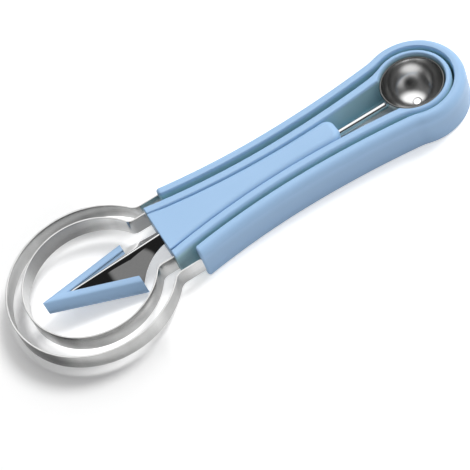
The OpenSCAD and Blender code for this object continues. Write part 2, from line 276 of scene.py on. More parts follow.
def slotted_round(f, x_end, hole_r, d):
    """Slot that opens into a round hole at the head, moved in by d."""
    c1 = np.array([WAIST_X, f[0] + f[2]])
    head = np.array([HEAD_X, 0.0])
    mouth = circles_meet(head, hole_r - d, c1, f[2] + d)
    half = np.concatenate([
        side_curve(f, x_end, angle_of(mouth - c1), d),
        polar(head, hole_r - d, np.linspace(angle_of(mouth - head), 0, HOLE_STEPS)[1:])])
    return np.concatenate([half, mirrored(half[:-1])])


def quarter(steps):
    """Angles of a rounded edge."""
    return np.linspace(0, pi / 2, steps)


# Meshes

def new_piece(name, node_name, body, points, faces, uv=None, sharp=32):
    """Mesh object in place of a CAD node, from points in millimetres in the loops' frame."""
    mesh = bpy.data.meshes.new(name)
    points = (np.asarray(points, float) - [MID_X, 0, 0]) / 1000
    mesh.from_pydata(points.tolist(), [], [list(map(int, f)) for f in faces])
    if uv is not None:
        layer = mesh.uv_layers.new(name="path")
        uv = np.asarray(uv, float) / 1000
        for loop in mesh.loops:
            layer.data[loop.index].uv = uv[loop.vertex_index]
    mesh.validate()
    bm = bmesh.new()
    bm.from_mesh(mesh)
    bmesh.ops.recalc_face_normals(bm, faces=bm.faces)
    bm.to_mesh(mesh)
    bm.free()
    mesh.polygons.foreach_set("use_smooth", [True] * len(mesh.polygons))
    mesh.set_sharp_from_angle(angle=radians(sharp))
    piece = bpy.data.objects.new(name, mesh)
    bpy.context.scene.collection.objects.link(piece)
    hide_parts(node_name)
    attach(piece, body)
    return piece


def weighted(piece):
    """Keeps flat faces flat beside small roundings."""
    modifier = piece.modifiers.new("weighted", "WEIGHTED_NORMAL")
    modifier.keep_sharp = True
    modifier.weight = 80


def long_rows(rows, columns):
    """Faces of a bar whose rows of points run along it, with its two ends."""
    sides = [(k * columns + i, k * columns + i + 1,
              (k + 1) % rows * columns + i + 1, (k + 1) % rows * columns + i)
             for k in range(rows) for i in range(columns - 1)]
    return sides + [[k * columns for k in range(rows)],
                    [k * columns + columns - 1 for k in range(rows)][::-1]]


def round_rows(rows, columns):
    """Faces of a bar whose rows of points run round it, with its two ends."""
    sides = [(k * columns + i, (k + 1) * columns + i,
              (k + 1) * columns + (i + 1) % columns, k * columns + (i + 1) % columns)
             for k in range(rows - 1) for i in range(columns)]
    return sides + [list(range(columns)),
                    [(rows - 1) * columns + i for i in range(columns)][::-1]]


# Handles

def swept_frame(name, node_name, body, section, x_end, z0, z1, soft):
    """Frame handle swept once round its keyhole. Each row of the section is its height, its
    outline, its inset and its side, 1 outside and -1 inside. The ends are rounded by soft."""
    rows = []
    for z, outline, inset, side in section:
        ends = []
        for a in quarter(END_STEPS)[:0:-1]:
            give = 1 - cos(a)
            x, y = outline(x_end + soft * (1 - sin(a)), inset + side * soft * give)[0]
            pull = [max(0, soft - gap / 2) * give for gap in (z - z0, z1 - z)]
            ends.append([x, y, z + pull[0] - pull[1]])
        ends = np.array(ends)
        middle = outline(x_end + soft, inset)
        middle = np.column_stack([middle, np.full(len(middle), z)])
        rows.append(np.concatenate([ends, middle, ends[::-1] * [1, -1, 1]]))
    return new_piece(name, node_name, body, np.concatenate(rows),
                     long_rows(len(rows), len(rows[0])))


def foot_rows(z0, outline):
    return [(z0 + FOOT_ROUND * (1 - cos(a)), outline, FOOT_ROUND * (1 - sin(a)), 1)
            for a in quarter(FOOT_STEPS)]


def shoulder_rows(z1, rounding, outline):
    """Outer top edge, a quarter of an ellipse."""
    across, down = rounding
    return [(z1 - down * (1 - sin(a)), outline, across * (1 - cos(a)), 1)
            for a in quarter(SHOULDER_STEPS)]


def lip_rows(z1, rounding, outline):
    """Top edge towards an opening, a quarter of an ellipse from the top down."""
    across, down = rounding
    return [(z1 - down * (1 - sin(a)), outline, -across * (1 - cos(a)), -1)
            for a in quarter(LIP_STEPS)[::-1]]


def outer_handle():
    cavity_d = KNIFE_FIT + INNER_WALL + HANDLE_GAP
    cavity_head = BOWL_R + BOWL_FIT + INNER_HEAD_WALL + HEAD_GAP

    def outside(x, d):
        return keyhole(flank(cavity_d + OUTER_WALL), x, OUTER_NECK_R - OUTER_WALL,
                       cavity_head + OUTER_HEAD_WALL, d)

    def cavity(x, d):
        return keyhole(flank(cavity_d), x, OUTER_NECK_R, cavity_head, d)

    def ledge(x, d):
        return keyhole(flank(cavity_d - HANDLE_GAP - OUTER_LEDGE_GRIP), x, OUTER_NECK_R,
                       cavity_head - HEAD_GAP - OUTER_LEDGE_GRIP, d)

    section = foot_rows(0, outside) + shoulder_rows(OUTER_TOP, OUTER_ROUND, outside)
    section += lip_rows(OUTER_TOP, OUTER_LIP, cavity)
    section += [(LEDGE_T, cavity, 0, -1), (LEDGE_T, ledge, 0, -1), (0, ledge, 0, -1)]
    return swept_frame("outer_handle_shell", "outer_handle", "outer_tool", section, OUTER_END,
                       0, OUTER_TOP, OUTER_END_ROUND)


def inner_handle():
    def outside(x, d):
        return keyhole(flank(KNIFE_FIT + INNER_WALL), x, INNER_NECK_R,
                       BOWL_R + BOWL_FIT + INNER_HEAD_WALL, d)

    def slot(x, d):
        return slotted_round(flank(KNIFE_FIT), x, BOWL_R + BOWL_FIT, d)

    section = foot_rows(INNER_Z, outside) + shoulder_rows(INNER_TOP, INNER_ROUND, outside)
    section += lip_rows(INNER_TOP, SLOT_LIP, slot)
    section += [(KNIFE_Z, slot, 0, -1), (KNIFE_Z, slot, INNER_LEDGE_W, -1),
                (INNER_Z, slot, INNER_LEDGE_W, -1)]
    return swept_frame("inner_handle_shell", "inner_handle", "inner_tool", section, KNIFE_END,
                       INNER_Z, INNER_TOP, INNER_END_ROUND)


def knife_handle():
    """Wedge whose top edge is tighter at the blade end and soft at the tip."""
    f = flank(0)
    c1 = np.array([WAIST_X, f[0] + f[2]])
    tip_x = KNIFE_TIP - KNIFE_TIP_R
    tip = np.array([tip_x, c1[1] - sqrt((f[2] + KNIFE_TIP_R) ** 2 - (tip_x - WAIST_X) ** 2)])
    a1 = angle_of(tip - c1)
    side = side_curve(f, KNIFE_END + INNER_END_ROUND, a1, 0)
    corner_a = angle_of(side[0] - (WAIST_X, f[0] + f[1])) + pi
    corner_c = side[0] - INNER_END_ROUND * np.array([cos(corner_a), sin(corner_a)])
    end = np.column_stack([np.full(END_FACE_STEPS - 1, corner_c[0] - INNER_END_ROUND),
                           np.linspace(0, corner_c[1], END_FACE_STEPS)[:-1]])
    half = np.concatenate([
        end,
        polar(corner_c, INNER_END_ROUND, np.linspace(pi, corner_a, END_FACE_STEPS))[:-1],
        side,
        polar(tip, KNIFE_TIP_R, np.linspace(a1 + pi, 0, TIP_STEPS)[1:])])
    if half[-1][1] > 1e-6:
        half = np.concatenate([half, [[half[-1][0], 0.0]]])
    outline = np.concatenate([half, mirrored(half[1:-1])])
    ahead = np.roll(outline, -1, 0) - np.roll(outline, 1, 0)
    inward = np.column_stack([ahead[:, 1], -ahead[:, 0]])
    inward /= np.linalg.norm(inward, axis=1)[:, None]
    along = np.clip((outline[:, 0] - KNIFE_END) / (KNIFE_TIP - KNIFE_END), 0, 1)
    from_end = np.clip((outline[:, 0] - KNIFE_END - INNER_END_ROUND) / KNIFE_ROUND_RUN, 0, 1)
    rounding = (KNIFE_ROUND_FACE + (KNIFE_ROUND_END - KNIFE_ROUND_FACE) * from_end
                + (KNIFE_ROUND_TIP - KNIFE_ROUND_END) * along ** KNIFE_ROUND_POWER * from_end)
    layers = [(FOOT_ROUND * (1 - sin(a)) * np.ones(len(outline)),
               (KNIFE_Z + FOOT_ROUND * (1 - cos(a))) * np.ones(len(outline)))
              for a in quarter(FOOT_STEPS)]
    layers += [(rounding * (1 - cos(a)), KNIFE_TOP - KNIFE_ROUND_DEPTH * rounding * (1 - sin(a)))
               for a in quarter(KNIFE_TOP_STEPS)]
    rows = [np.column_stack([outline + inward * d[:, None], z]) for d, z in layers]
    return new_piece("knife_handle_body", "knife_handle", "knife_tool",
                     np.concatenate(rows), round_rows(len(rows), len(outline)))


# Bands

def band_path(r, leg_y, bend_r, leg_x, tang_a, d):
    """Whole middle line of a band moved outwards by d, from one tang's end to the other's."""
    bend = np.array([sqrt((r + bend_r) ** 2 - (leg_y + bend_r) ** 2), leg_y + bend_r])
    a = angle_of(bend)
    leg = np.array([leg_x, leg_y + d])
    bend_end = polar(bend, bend_r - d, [3 * pi / 2])[0]
    turn = np.array([cos(tang_a), sin(tang_a)])
    foot = np.array([leg_x, leg_y]) + turn * TANG_L + np.array([-turn[1], turn[0]]) * d
    half = np.concatenate([
        polar((0, 0), r + d, np.linspace(pi, a, LOOP_STEPS)),
        polar(bend, bend_r - d, np.linspace(a + pi, 3 * pi / 2, BEND_STEPS)[1:]),
        np.linspace(bend_end, leg, LEG_STEPS)[1:],
        np.linspace(leg, foot, TANG_STEPS)[1:]])
    return np.concatenate([mirrored(half), half[1:]])


def travelled(path):
    """Distance along a path at each of its points."""
    return np.concatenate([[0], np.cumsum(np.linalg.norm(np.diff(path, axis=0), axis=1))])


def band_place(shape, angle):
    """Distance along a band at an angle round its loop."""
    middle = band_path(*shape, 0)
    turn = np.abs((np.arctan2(middle[:, 1], middle[:, 0]) - angle + pi) % (2 * pi) - pi)
    return travelled(middle)[np.argmin(turn)]


def band(name, body, node_name, r, leg_y, bend_r, leg_x, tang_a):
    """Steel strip bent into a loop, with slightly broken edges."""
    z0, z1 = box_mm(node_name)[0].z + BAND_EDGE, box_mm(node_name)[1].z - BAND_EDGE
    y1 = BAND_T / 2 - BAND_EDGE
    corners = [(y1, z1, 0), (-y1, z1, pi / 2), (-y1, z0, pi), (y1, z0, 3 * pi / 2)]
    section = [(y + BAND_EDGE * cos(a), z + BAND_EDGE * sin(a))
               for y, z, start in corners for a in start + quarter(BAND_EDGE_STEPS)]
    travel = travelled(band_path(r, leg_y, bend_r, leg_x, tang_a, 0))
    rows = []
    uv = []
    for d, z in section:
        level = np.full(len(travel), z)
        rows.append(np.column_stack([band_path(r, leg_y, bend_r, leg_x, tang_a, d), level]))
        uv.append(np.column_stack([travel, level]))
    return new_piece(name, node_name, body, np.concatenate(rows),
                     long_rows(len(rows), len(travel)), uv=np.concatenate(uv))


def flank_dir(d, x):
    """Direction of a side curve at a place on its loop side."""
    return -asin((WAIST_X - x) / flank(d)[1])


# Blade and guard

def from_ridge(points):
    """From the ridge's frame to the loops' frame."""
    turned = Matrix.Rotation(-RIDGE_FALL, 3, "Y")
    return np.asarray(points, float) @ np.array(turned).T + [KNIFE_END, 0, RIDGE_Z]


def on_wing(points):
    """From X along the ridge, Y down the slope and Z out of the sheet to the ridge's frame."""
    turned = Matrix.Rotation(-WING_SLOPE, 3, "X")
    return np.asarray(points, float) @ np.array(turned).T


def wing_width(x):
    """Width of a wing at a place along the ridge, and whether its edge there is a cutting edge."""
    if x < CORNER[0]:
        return (x + BLADE_L) * tan(EDGE_A), True
    if x < NECK_END[0]:
        centre = circles_meet(CORNER, HOLLOW_R, NECK_END, HOLLOW_R)
        return centre[1] - sqrt(HOLLOW_R ** 2 - (x - centre[0]) ** 2), False
    return NECK_W, False


def v_blade():
    """Sheet folded along its ridge, with ground cutting edges and hollow rear edges."""
    stations = np.concatenate([
        np.linspace(-BLADE_L + BLADE_TIP_CUT, CORNER[0] - CORNER_GAP, BLADE_STEPS[0]),
        np.linspace(CORNER[0] + CORNER_GAP, NECK_END[0], BLADE_STEPS[1]),
        np.linspace(NECK_END[0] + NECK_GAP, BLADE_TANG_L, BLADE_STEPS[2])])
    rows = []
    for x in stations:
        width, cutting = wing_width(x)
        scale = min(1, width / BLADE_FULL_W)
        t, r = BLADE_T * scale, FOLD_R * scale
        bevel, drop, chamfer = ((BEVEL_W * scale, t, 0) if cutting
                                else (BLADE_CHAMFER, BLADE_CHAMFER, BLADE_CHAMFER))
        fold_v = r * tan(WING_SLOPE)
        fold_z = -r / cos(WING_SLOPE)
        fold_a = np.linspace(pi / 2 - WING_SLOPE, pi / 2, FOLD_STEPS)[1:]
        inner_r = max(r - t, FOLD_INNER_R)
        top = [on_wing([x, width, -drop])]
        top += [on_wing([x, v, 0]) for v in np.linspace(width - bevel, fold_v, WING_TOP_STEPS)]
        top += [np.array([x, r * cos(a), fold_z + r * sin(a)]) for a in fold_a]
        low = [np.array([x, inner_r * cos(a), fold_z + inner_r * sin(a)]) for a in fold_a[::-1]]
        low += [on_wing([x, v, -t])
                for v in np.linspace(fold_v, width - chamfer, WING_UNDER_STEPS)]
        low += [on_wing([x, width, -t + chamfer])]
        top = np.array(top)
        low = np.array(low)
        rows.append(np.concatenate([top, top[-2::-1] * [1, -1, 1],
                                    low[:0:-1] * [1, -1, 1], low]))
    return new_piece("v_blade_sheet", "v_blade", "knife_tool",
                     from_ridge(np.concatenate(rows)), round_rows(len(rows), len(rows[0])),
                     sharp=24)


def guard_section():
    """One arm across the cutting edge: its smooth outside and the slot for the blade."""
    knots = np.array([(-GUARD_COVER * place, GUARD_HALF_T * t) for place, t in GUARD_OVER_BLADE]
                     + [(GUARD_REACH * place, GUARD_HALF_T * t) for place, t in GUARD_PAST_EDGE])
    s = travelled(knots)
    fine = np.linspace(0, s[-1], GUARD_OUTSIDE_STEPS)
    top = np.column_stack([smooth_through(s, knots[:, 0], fine),
                           smooth_through(s, knots[:, 1], fine)])
    slot_half = BLADE_T / 2 + GUARD_FIT
    slot_end = GUARD_FIT + GUARD_SLOT_END
    slot = np.array([[-GUARD_COVER, -slot_half], [slot_end, -slot_half],
                     [slot_end, slot_half], [-GUARD_COVER, slot_half]])
    return np.concatenate([top, top[::-1] * [1, -1], slot])


def smooth_through(s, values, at):
    """Smooth curve through values at distances s, read at new distances."""
    slopes = np.gradient(values, s)
    k = np.clip(np.searchsorted(s, at) - 1, 0, len(s) - 2)
    h = s[k + 1] - s[k]
    t = (at - s[k]) / h
    return ((2 * t ** 3 - 3 * t ** 2 + 1) * values[k] + (t ** 3 - 2 * t ** 2 + t) * h * slopes[k]
            + (3 * t ** 2 - 2 * t ** 3) * values[k + 1] + (t ** 3 - t ** 2) * h * slopes[k + 1])


def blade_guard():
    """Two arms with a slot each, mitred at the ridge and cut square at both ends."""
    section = guard_section()
    outside = np.arange(len(section)) < len(section) - 4
    along = np.array([cos(EDGE_A), sin(EDGE_A), 0])
    across = np.array([-sin(EDGE_A), cos(EDGE_A), 0])
    start = np.array([-BLADE_L, 0, -BLADE_T / 2])
    rows = []
    for u in np.linspace(GUARD_OVERRUN[0] * BLADE_L, GUARD_OVERRUN[1] * BLADE_L, GUARD_STEPS):
        wide = 1 + GUARD_WIDER[0] + ((GUARD_WIDER[1] - GUARD_WIDER[0])
                                     * np.clip(u / GUARD_WIDER_RUN, 0, 1))
        reach = np.where((section[:, 0] > 0) & outside, section[:, 0] * wide, section[:, 0])
        rows.append(on_wing(start + along * u + np.outer(reach, across)
                            + np.outer(section[:, 1], [0, 0, 1])))
    bm = bmesh.new()
    corners = [bm.verts.new(p) for p in np.concatenate(rows)]
    for f in round_rows(len(rows), len(section)):
        bm.faces.new([corners[i] for i in f])
    bmesh.ops.recalc_face_normals(bm, faces=bm.faces)
    cuts = [((-BLADE_L - GUARD_NOSE, 0, 0), (1, 0, 0), True),
            ((-CORNER_BACK - GUARD_SHORT, 0, 0), (-1, 0, 0), True),
            ((0, 0, 0), (0, 1, 0), False)]
    for place, keep, fill in cuts:
        everything = bm.verts[:] + bm.edges[:] + bm.faces[:]
        cut = bmesh.ops.bisect_plane(bm, geom=everything, plane_co=place, plane_no=keep,
                                     clear_inner=True, dist=1e-5)
        rim = [e for e in cut["geom_cut"] if isinstance(e, bmesh.types.BMEdge)]
        if fill:
            bmesh.ops.contextual_create(bm, geom=rim)
    for v in bm.verts:
        if abs(v.co.y) < 1e-4:
            v.co.y = 0
    flat = [f for f in bm.faces if all(v.co.y == 0 for v in f.verts)]
    bmesh.ops.delete(bm, geom=flat, context="FACES_ONLY")
    other = bmesh.ops.duplicate(bm, geom=bm.verts[:] + bm.edges[:] + bm.faces[:])["geom"]
    for v in other:
        if isinstance(v, bmesh.types.BMVert):
            v.co.y = -v.co.y
    bmesh.ops.remove_doubles(bm, verts=bm.verts, dist=1e-3)
    bmesh.ops.recalc_face_normals(bm, faces=bm.faces)
    bm.verts.index_update()
    points = from_ridge([v.co for v in bm.verts])
    faces = [[v.index for v in f.verts] for f in bm.faces]
    bm.free()
    piece = new_piece("blade_guard_arms", "blade_guard", "guard", points,
                      faces, sharp=30)
    bevel = piece.modifiers.new("edges", "BEVEL")
    bevel.width = GUARD_EDGE_ROUND / 1000
    bevel.segments = 3
    bevel.limit_method = "ANGLE"
    bevel.angle_limit = radians(50)
    return piece


# Baller

def round_angles(steps):
    """Angles once round an axis."""
    return np.linspace(0, 2 * pi, steps, endpoint=False)


def baller_bowl():
    """Hollow half ball with a rounded rim and a drain hole."""
    inner_r = BOWL_R - BOWL_T
    round_r = BOWL_T / 2
    drain_out = asin((DRAIN_R + DRAIN_ROUND_OUT) / BOWL_R) - pi / 2
    drain_in = asin((DRAIN_R + DRAIN_ROUND_IN) / inner_r) - pi / 2
    rim_drop = asin(round_r / (BOWL_R - round_r))
    rim = (BOWL_R - round_r) * np.array([cos(rim_drop), -sin(rim_drop)])
    profile = np.concatenate([
        polar((0, 0), BOWL_R, np.linspace(drain_out, -rim_drop, BOWL_STEPS)),
        polar(rim, round_r, np.linspace(-rim_drop, pi - rim_drop, RIM_STEPS)[1:-1]),
        polar((0, 0), inner_r, np.linspace(-rim_drop, drain_in, BOWL_STEPS)),
        [[DRAIN_R, -inner_r * cos(drain_in + pi / 2) - DRAIN_ROUND_IN],
         [DRAIN_R, -BOWL_R * cos(drain_out + pi / 2) + DRAIN_ROUND_OUT]]])
    points = np.concatenate([
        np.column_stack([HEAD_X + profile[:, 0] * cos(a), profile[:, 0] * sin(a),
                         RIM_Z + profile[:, 1]]) for a in round_angles(LATHE_STEPS)])
    m = len(profile)
    faces = [(k * m + i, k * m + (i + 1) % m, (k + 1) % LATHE_STEPS * m + (i + 1) % m,
              (k + 1) % LATHE_STEPS * m + i)
             for k in range(LATHE_STEPS) for i in range(m)]
    return new_piece("baller_bowl_cup", "baller_bowl", "knife_tool", points,
                     faces, sharp=40)


def baller_rod():
    """Rod from inside the handle to the bowl, with the weld's small flare at its end."""
    rows = []
    for a in round_angles(ROD_STEPS):
        row = [[x, ROD_R * cos(a), ROD_Z + ROD_R * sin(a)]
               for x in [ROD_START] + [KNIFE_TIP + place for place in ROD_RINGS]]
        for t in np.linspace(0, 1, WELD_STEPS):
            r = ROD_R + WELD_W * (1 - sqrt(1 - t ** 2))
            y, z = r * cos(a), ROD_Z + r * sin(a)
            surface = HEAD_X - sqrt(BOWL_R ** 2 - y ** 2 - (z - RIM_Z) ** 2)
            row.append([surface - WELD_L * (1 - t) + WELD_SINK, y, z])
        rows.append(np.array(row))
    return new_piece("baller_rod_bar", "baller_rod", "knife_tool",
                     np.concatenate(rows), long_rows(len(rows), len(rows[0])), sharp=50)


# Materials. Scales are repeats per metre, and depths are in metres.

NOISE_SPAN = (0.3, 0.7)
PLASTIC_TOP = ((0.345, 0.538, 0.79), (0.362, 0.555, 0.808))
# Painted shade: the colour of the sides is darker than that of the top, as the sides lie in more
# shade
PLASTIC_SIDE_SHADE = (0.315, 0.48, 0.70)
# Painted shade tint of the gaps between the handles: a lighter, teal colour for walls that lie in
# shade
PLASTIC_GAP_SHADE_TINT = (0.42, 0.66, 0.75)
# Heights in metres between which the top's colour turns into a painted shade colour below: that of
# the sides, and the teal tint of the gaps
SIDE_SHADE_HEIGHTS = (0.0165, 0.010)
GAP_SHADE_HEIGHTS = (0.0172, 0.0152)
PLASTIC_ROUGH = (0.36, 0.46)
PLASTIC_IOR = 1.48
PLASTIC_SPECULAR = 0.42
PLASTIC_FLOW_SCALE = 38
PLASTIC_SKIN_SCALE = 2600
PLASTIC_SKIN_DEPTH = 0.00002
STREAK_SCALE = (45, 5200, 1)
STREAK_DEPTH = 0.000006
STROKE_SCALE = (130, 4, 1)
STROKE_SHARE = 0.22
STROKE_COLOUR = (0.2, 0.2, 0.2)
# Colour of the painted dark reflections on the bands
PAINTED_REFLECTION_COLOUR = (0.12, 0.12, 0.12)
HAIRLINE_SCALE = (900, 6000, 6000)
# Brushed steels as light and dark colour, roughness and anisotropy
SHEARED_EDGE = ((0.80, 0.80, 0.795), (0.66, 0.66, 0.655), 0.35, 0)
BAND_STEEL = ((0.66, 0.66, 0.655), (0.53, 0.53, 0.525), 0.2, 0.75)
# Polished steels as light and dark colour, roughness, and scale and height of their waves
MIRROR_STEEL = ((0.74, 0.74, 0.735), (0.69, 0.69, 0.69), 0.012, 26, 0.00018)
ROD_STEEL = ((0.72, 0.72, 0.715), (0.66, 0.66, 0.66), 0.1, 90, 0.00002)
BOWL_STEEL = ((0.72, 0.72, 0.715), (0.66, 0.66, 0.66), 0.2, 60, 0.00005)
# The bowl's rim is painted dark: a painted reflection of dark surroundings
RIM_STEEL_PAINTED_DARK = ((0.22, 0.22, 0.215), (0.16, 0.16, 0.16), 0.4, 60, 0.00005)


def set_inputs(tree, made, inputs):
    """Values or links on the inputs of a shader node."""
    for key, value in inputs.items():
        if isinstance(value, bpy.types.NodeSocket):
            tree.links.new(value, made.inputs[key])
        else:
            made.inputs[key].default_value = value


def node(tree, kind, settings=None, inputs=None):
    """New shader node with its settings and inputs."""
    made = tree.nodes.new("ShaderNode" + kind)
    for key, value in (settings or {}).items():
        setattr(made, key, value)
    set_inputs(tree, made, inputs or {})
    return made


def new_material(name):
    material = bpy.data.materials.new(name)
    material.use_nodes = True
    return material, material.node_tree, material.node_tree.nodes["Principled BSDF"]


def spread(tree, value, low, high):
    """Maps a noise value to a range."""
    return node(tree, "MapRange", None, {
        "Value": value, "From Min": NOISE_SPAN[0], "From Max": NOISE_SPAN[1],
        "To Min": low, "To Max": high}).outputs["Result"]


def step(tree, value, start, end):
    """0 at start and 1 at end, smoothly."""
    return node(tree, "MapRange", {"interpolation_type": "SMOOTHSTEP"},
                {"Value": value, "From Min": start, "From Max": end}).outputs["Result"]


def stretched(tree, vector, scale):
    return node(tree, "Mapping", None, {"Vector": vector, "Scale": scale}).outputs["Vector"]


def noise(tree, vector, scale, detail=3.0, rough=0.5):
    return node(tree, "TexNoise", None, {"Vector": vector, "Scale": scale, "Detail": detail,
                                         "Roughness": rough}).outputs["Fac"]


def maths(tree, operation, a, b=0.0):
    return node(tree, "Math", {"operation": operation}, {0: a, 1: b}).outputs[0]


def mix_colour(tree, factor, a, b):
    a, b = [value if isinstance(value, bpy.types.NodeSocket) else (*value, 1)
            for value in (a, b)]
    return node(tree, "Mix", {"data_type": "RGBA"}, {0: factor, 6: a, 7: b}).outputs[2]


def mix_value(tree, factor, a, b):
    return node(tree, "Mix", {"data_type": "FLOAT"}, {0: factor, 2: a, 3: b}).outputs[0]


def bumpy(tree, height, strength, distance):
    return node(tree, "Bump", None, {"Strength": strength, "Distance": distance,
                                     "Height": height}).outputs["Normal"]


def plastic(name, side, shade_from, shade_to):
    """Satin moulded plastic, with a fine skin and faint flow marks. Between two heights its colour
    turns from that of the top into a painted shade colour below."""
    material, tree, shader = new_material(name)
    place = node(tree, "TexCoord").outputs["Object"]
    height = node(tree, "SeparateXYZ", None, {0: place}).outputs["Z"]
    flow = noise(tree, place, PLASTIC_FLOW_SCALE, detail=4)
    skin = noise(tree, place, PLASTIC_SKIN_SCALE, detail=2)
    top = mix_colour(tree, spread(tree, flow, 0, 1), *PLASTIC_TOP)
    set_inputs(tree, shader, {
        # Painted shade: below the given heights the colour turns into the shade colour
        "Base Color": mix_colour(tree, step(tree, height, shade_from, shade_to), top, side),
        "Roughness": spread(tree, skin, *PLASTIC_ROUGH),
        "Normal": bumpy(tree, skin, 0.35, PLASTIC_SKIN_DEPTH),
        "IOR": PLASTIC_IOR,
        "Specular IOR Level": PLASTIC_SPECULAR})
    return material


def brushed(name, light, dark, rough, lay, painted_reflections=()):
    """Steel strip brushed along its length, through the path coordinates of its mesh, with the
    lay of the brushing as anisotropy. Painted dark reflections darken it in places: distance
    along it, half width and strength."""
    material, tree, shader = new_material(name)
    path = node(tree, "UVMap", {"uv_map": "path"}).outputs["UV"]
    along = node(tree, "SeparateXYZ", None, {0: path}).outputs["X"]
    streaks = noise(tree, stretched(tree, path, STREAK_SCALE), 1, detail=4, rough=0.65)
    strokes = noise(tree, stretched(tree, path, STROKE_SCALE), 1, detail=2)
    colour = mix_colour(tree, spread(tree, streaks, 0, 1), dark, light)
    colour = mix_colour(tree, spread(tree, strokes, 0, STROKE_SHARE), colour, STROKE_COLOUR)
    # Painted dark reflections: each one darkens the band over a window along it
    for middle, half, strength in painted_reflections:
        painted_reflection_window = maths(tree, "MULTIPLY", *[
            step(tree, along, (middle + side * half) / 1000, (middle + side * half / 3) / 1000)
            for side in (-1, 1)])
        colour = mix_colour(tree, maths(tree, "MULTIPLY", painted_reflection_window, strength), colour, PAINTED_REFLECTION_COLOUR)
    tangent = node(tree, "Tangent", {"direction_type": "UV_MAP", "uv_map": "path"})
    set_inputs(tree, shader, {
        "Base Color": colour,
        "Roughness": spread(tree, streaks, rough - 0.04, rough + 0.04),
        "Normal": bumpy(tree, streaks, 0.3, STREAK_DEPTH),
        "Tangent": tangent.outputs["Tangent"],
        "Anisotropic": lay,
        "Anisotropic Rotation": 0.25,
        "Metallic": 1.0})
    return material


def polished(name, light, dark, rough, wave_scale, wave_height):
    """Polished stainless steel with hairlines from the buffing wheel, and slightly wavy."""
    material, tree, shader = new_material(name)
    place = node(tree, "TexCoord").outputs["Object"]
    waves = noise(tree, place, wave_scale, detail=1)
    hair = noise(tree, stretched(tree, place, HAIRLINE_SCALE), 1, detail=3)
    set_inputs(tree, shader, {
        "Base Color": mix_colour(tree, spread(tree, hair, 0, 1), dark, light),
        "Roughness": spread(tree, hair, rough * 0.8, rough * 1.2),
        "Normal": bumpy(tree, waves, 1.0, wave_height),
        "Metallic": 1.0})
    return material


def paint(piece, *materials):
    piece.data.materials.clear()
    for material in materials:
        piece.data.materials.append(material)


def paint_level(piece, number):
    """Gives the faces that look up or down another of the piece's materials."""
    for face in piece.data.polygons:
        if abs(face.normal.z) > 0.5:
            face.material_index = number


def paint_gap_shade_walls(piece, number):
    """Gives the walls round the outer handle's opening another of its materials: the painted gap
    shade.
    """
    f = flank(KNIFE_FIT + INNER_WALL + HANDLE_GAP + OUTER_WALL / 2)
    head = BOWL_R + BOWL_FIT + INNER_HEAD_WALL + HEAD_GAP + OUTER_HEAD_WALL / 2
    for face in piece.data.polygons:
        x, y, _ = face.center * 1000
        x += MID_X
        radius = f[1] if x < WAIST_X else f[2]
        side = f[0] + radius - sqrt(radius ** 2 - (x - WAIST_X) ** 2)
        if abs(y) < side and x < HEAD_X or hypot(x - HEAD_X, y) < head:
            face.material_index = number


# Stage

CAMERA_PLACE = (-0.09045, -0.5536, 0.7213)
CAMERA_AZIMUTH = radians(8.29)
CAMERA_DOWN = radians(52.75)
CAMERA_ROLL = radians(-24.47)
PHOTO_SIZE = 470
FOCAL_PIXELS = 1983.6

# The floor, and the white it adds of itself beside the handles, round the loops, inside the
# small loop, in the slot beside the rod and under the drain hole. This glow is painted light by
# place: it pales the shadows beside the handles and inside the small loop, and whitens the floor
# under the drain hole.
FLOOR_COLOUR = (0.92, 0.92, 0.92)
GLOW_HANDLES = 0.42
GLOW_LOOPS = 0.05
GLOW_INSIDE = 0.4
GLOW_SLOT = 0.0
GLOW_DRAIN = 1.0
# Where one white turns into the next, in metres: distance from the centre of the loops, place
# along the tool, the slot's side and its two ends, and distance from the drain hole's centre
INSIDE_EDGE = (0.034, 0.029)
HANDLES_EDGE = (-0.068, -0.05)
SLOT_SIDE = (0.013, 0.01)
SLOT_START = (0.03, 0.04)
SLOT_END = (0.115, 0.11)
DRAIN_EDGE = (0.004, 0.003)
FLOOR_HALF = 4.0

# The studio: general brightness, and soft panels as direction, inner and outer angle in
# degrees, and brightness. Later panels cover earlier ones.
STUDIO_LEVEL = 0.16
PANELS = [((0, -1, 0.12), 25, 62, 0.75),
          ((-1, 0.1, 0.1), 25, 50, 0.04),
          ((0, 1, 0.2), 20, 50, 0.08),
          ((0.36, 0.45, 0.82), 22, 47, 1.6),
          ((-0.09, -0.60, 0.79), 17, 34, 0.07),
          ((-0.06, -0.657, 0.752), 7, 13, 0.018),
          ((-0.046, -0.662, 0.748), 0.4, 0.65, 0.27)]

# Lamps as name, direction they shine from, strength and angle
LAMPS = [("key", (0.63, 0.2, 0.75), 1.65, radians(22)),
         ("fill", (-0.1, -0.55, 0.83), 0.3, radians(50))]


def add_camera():
    data = bpy.data.cameras.new("camera")
    data.sensor_width = 36
    data.lens = FOCAL_PIXELS * data.sensor_width / PHOTO_SIZE
    data.clip_start = 0.05
    data.clip_end = 20
    ahead = Vector((sin(CAMERA_AZIMUTH) * cos(CAMERA_DOWN), cos(CAMERA_AZIMUTH) * cos(CAMERA_DOWN),
                    -sin(CAMERA_DOWN)))
    level = Vector((cos(CAMERA_AZIMUTH), -sin(CAMERA_AZIMUTH), 0))
    above = level.cross(ahead)
    right = level * cos(CAMERA_ROLL) + above * sin(CAMERA_ROLL)
    up = above * cos(CAMERA_ROLL) - level * sin(CAMERA_ROLL)
    camera = bpy.data.objects.new("camera", data)
    axes = Matrix((right, up, -ahead)).transposed().to_4x4()
    camera.matrix_world = Matrix.Translation(CAMERA_PLACE) @ axes
    bpy.context.scene.collection.objects.link(camera)
    bpy.context.scene.camera = camera


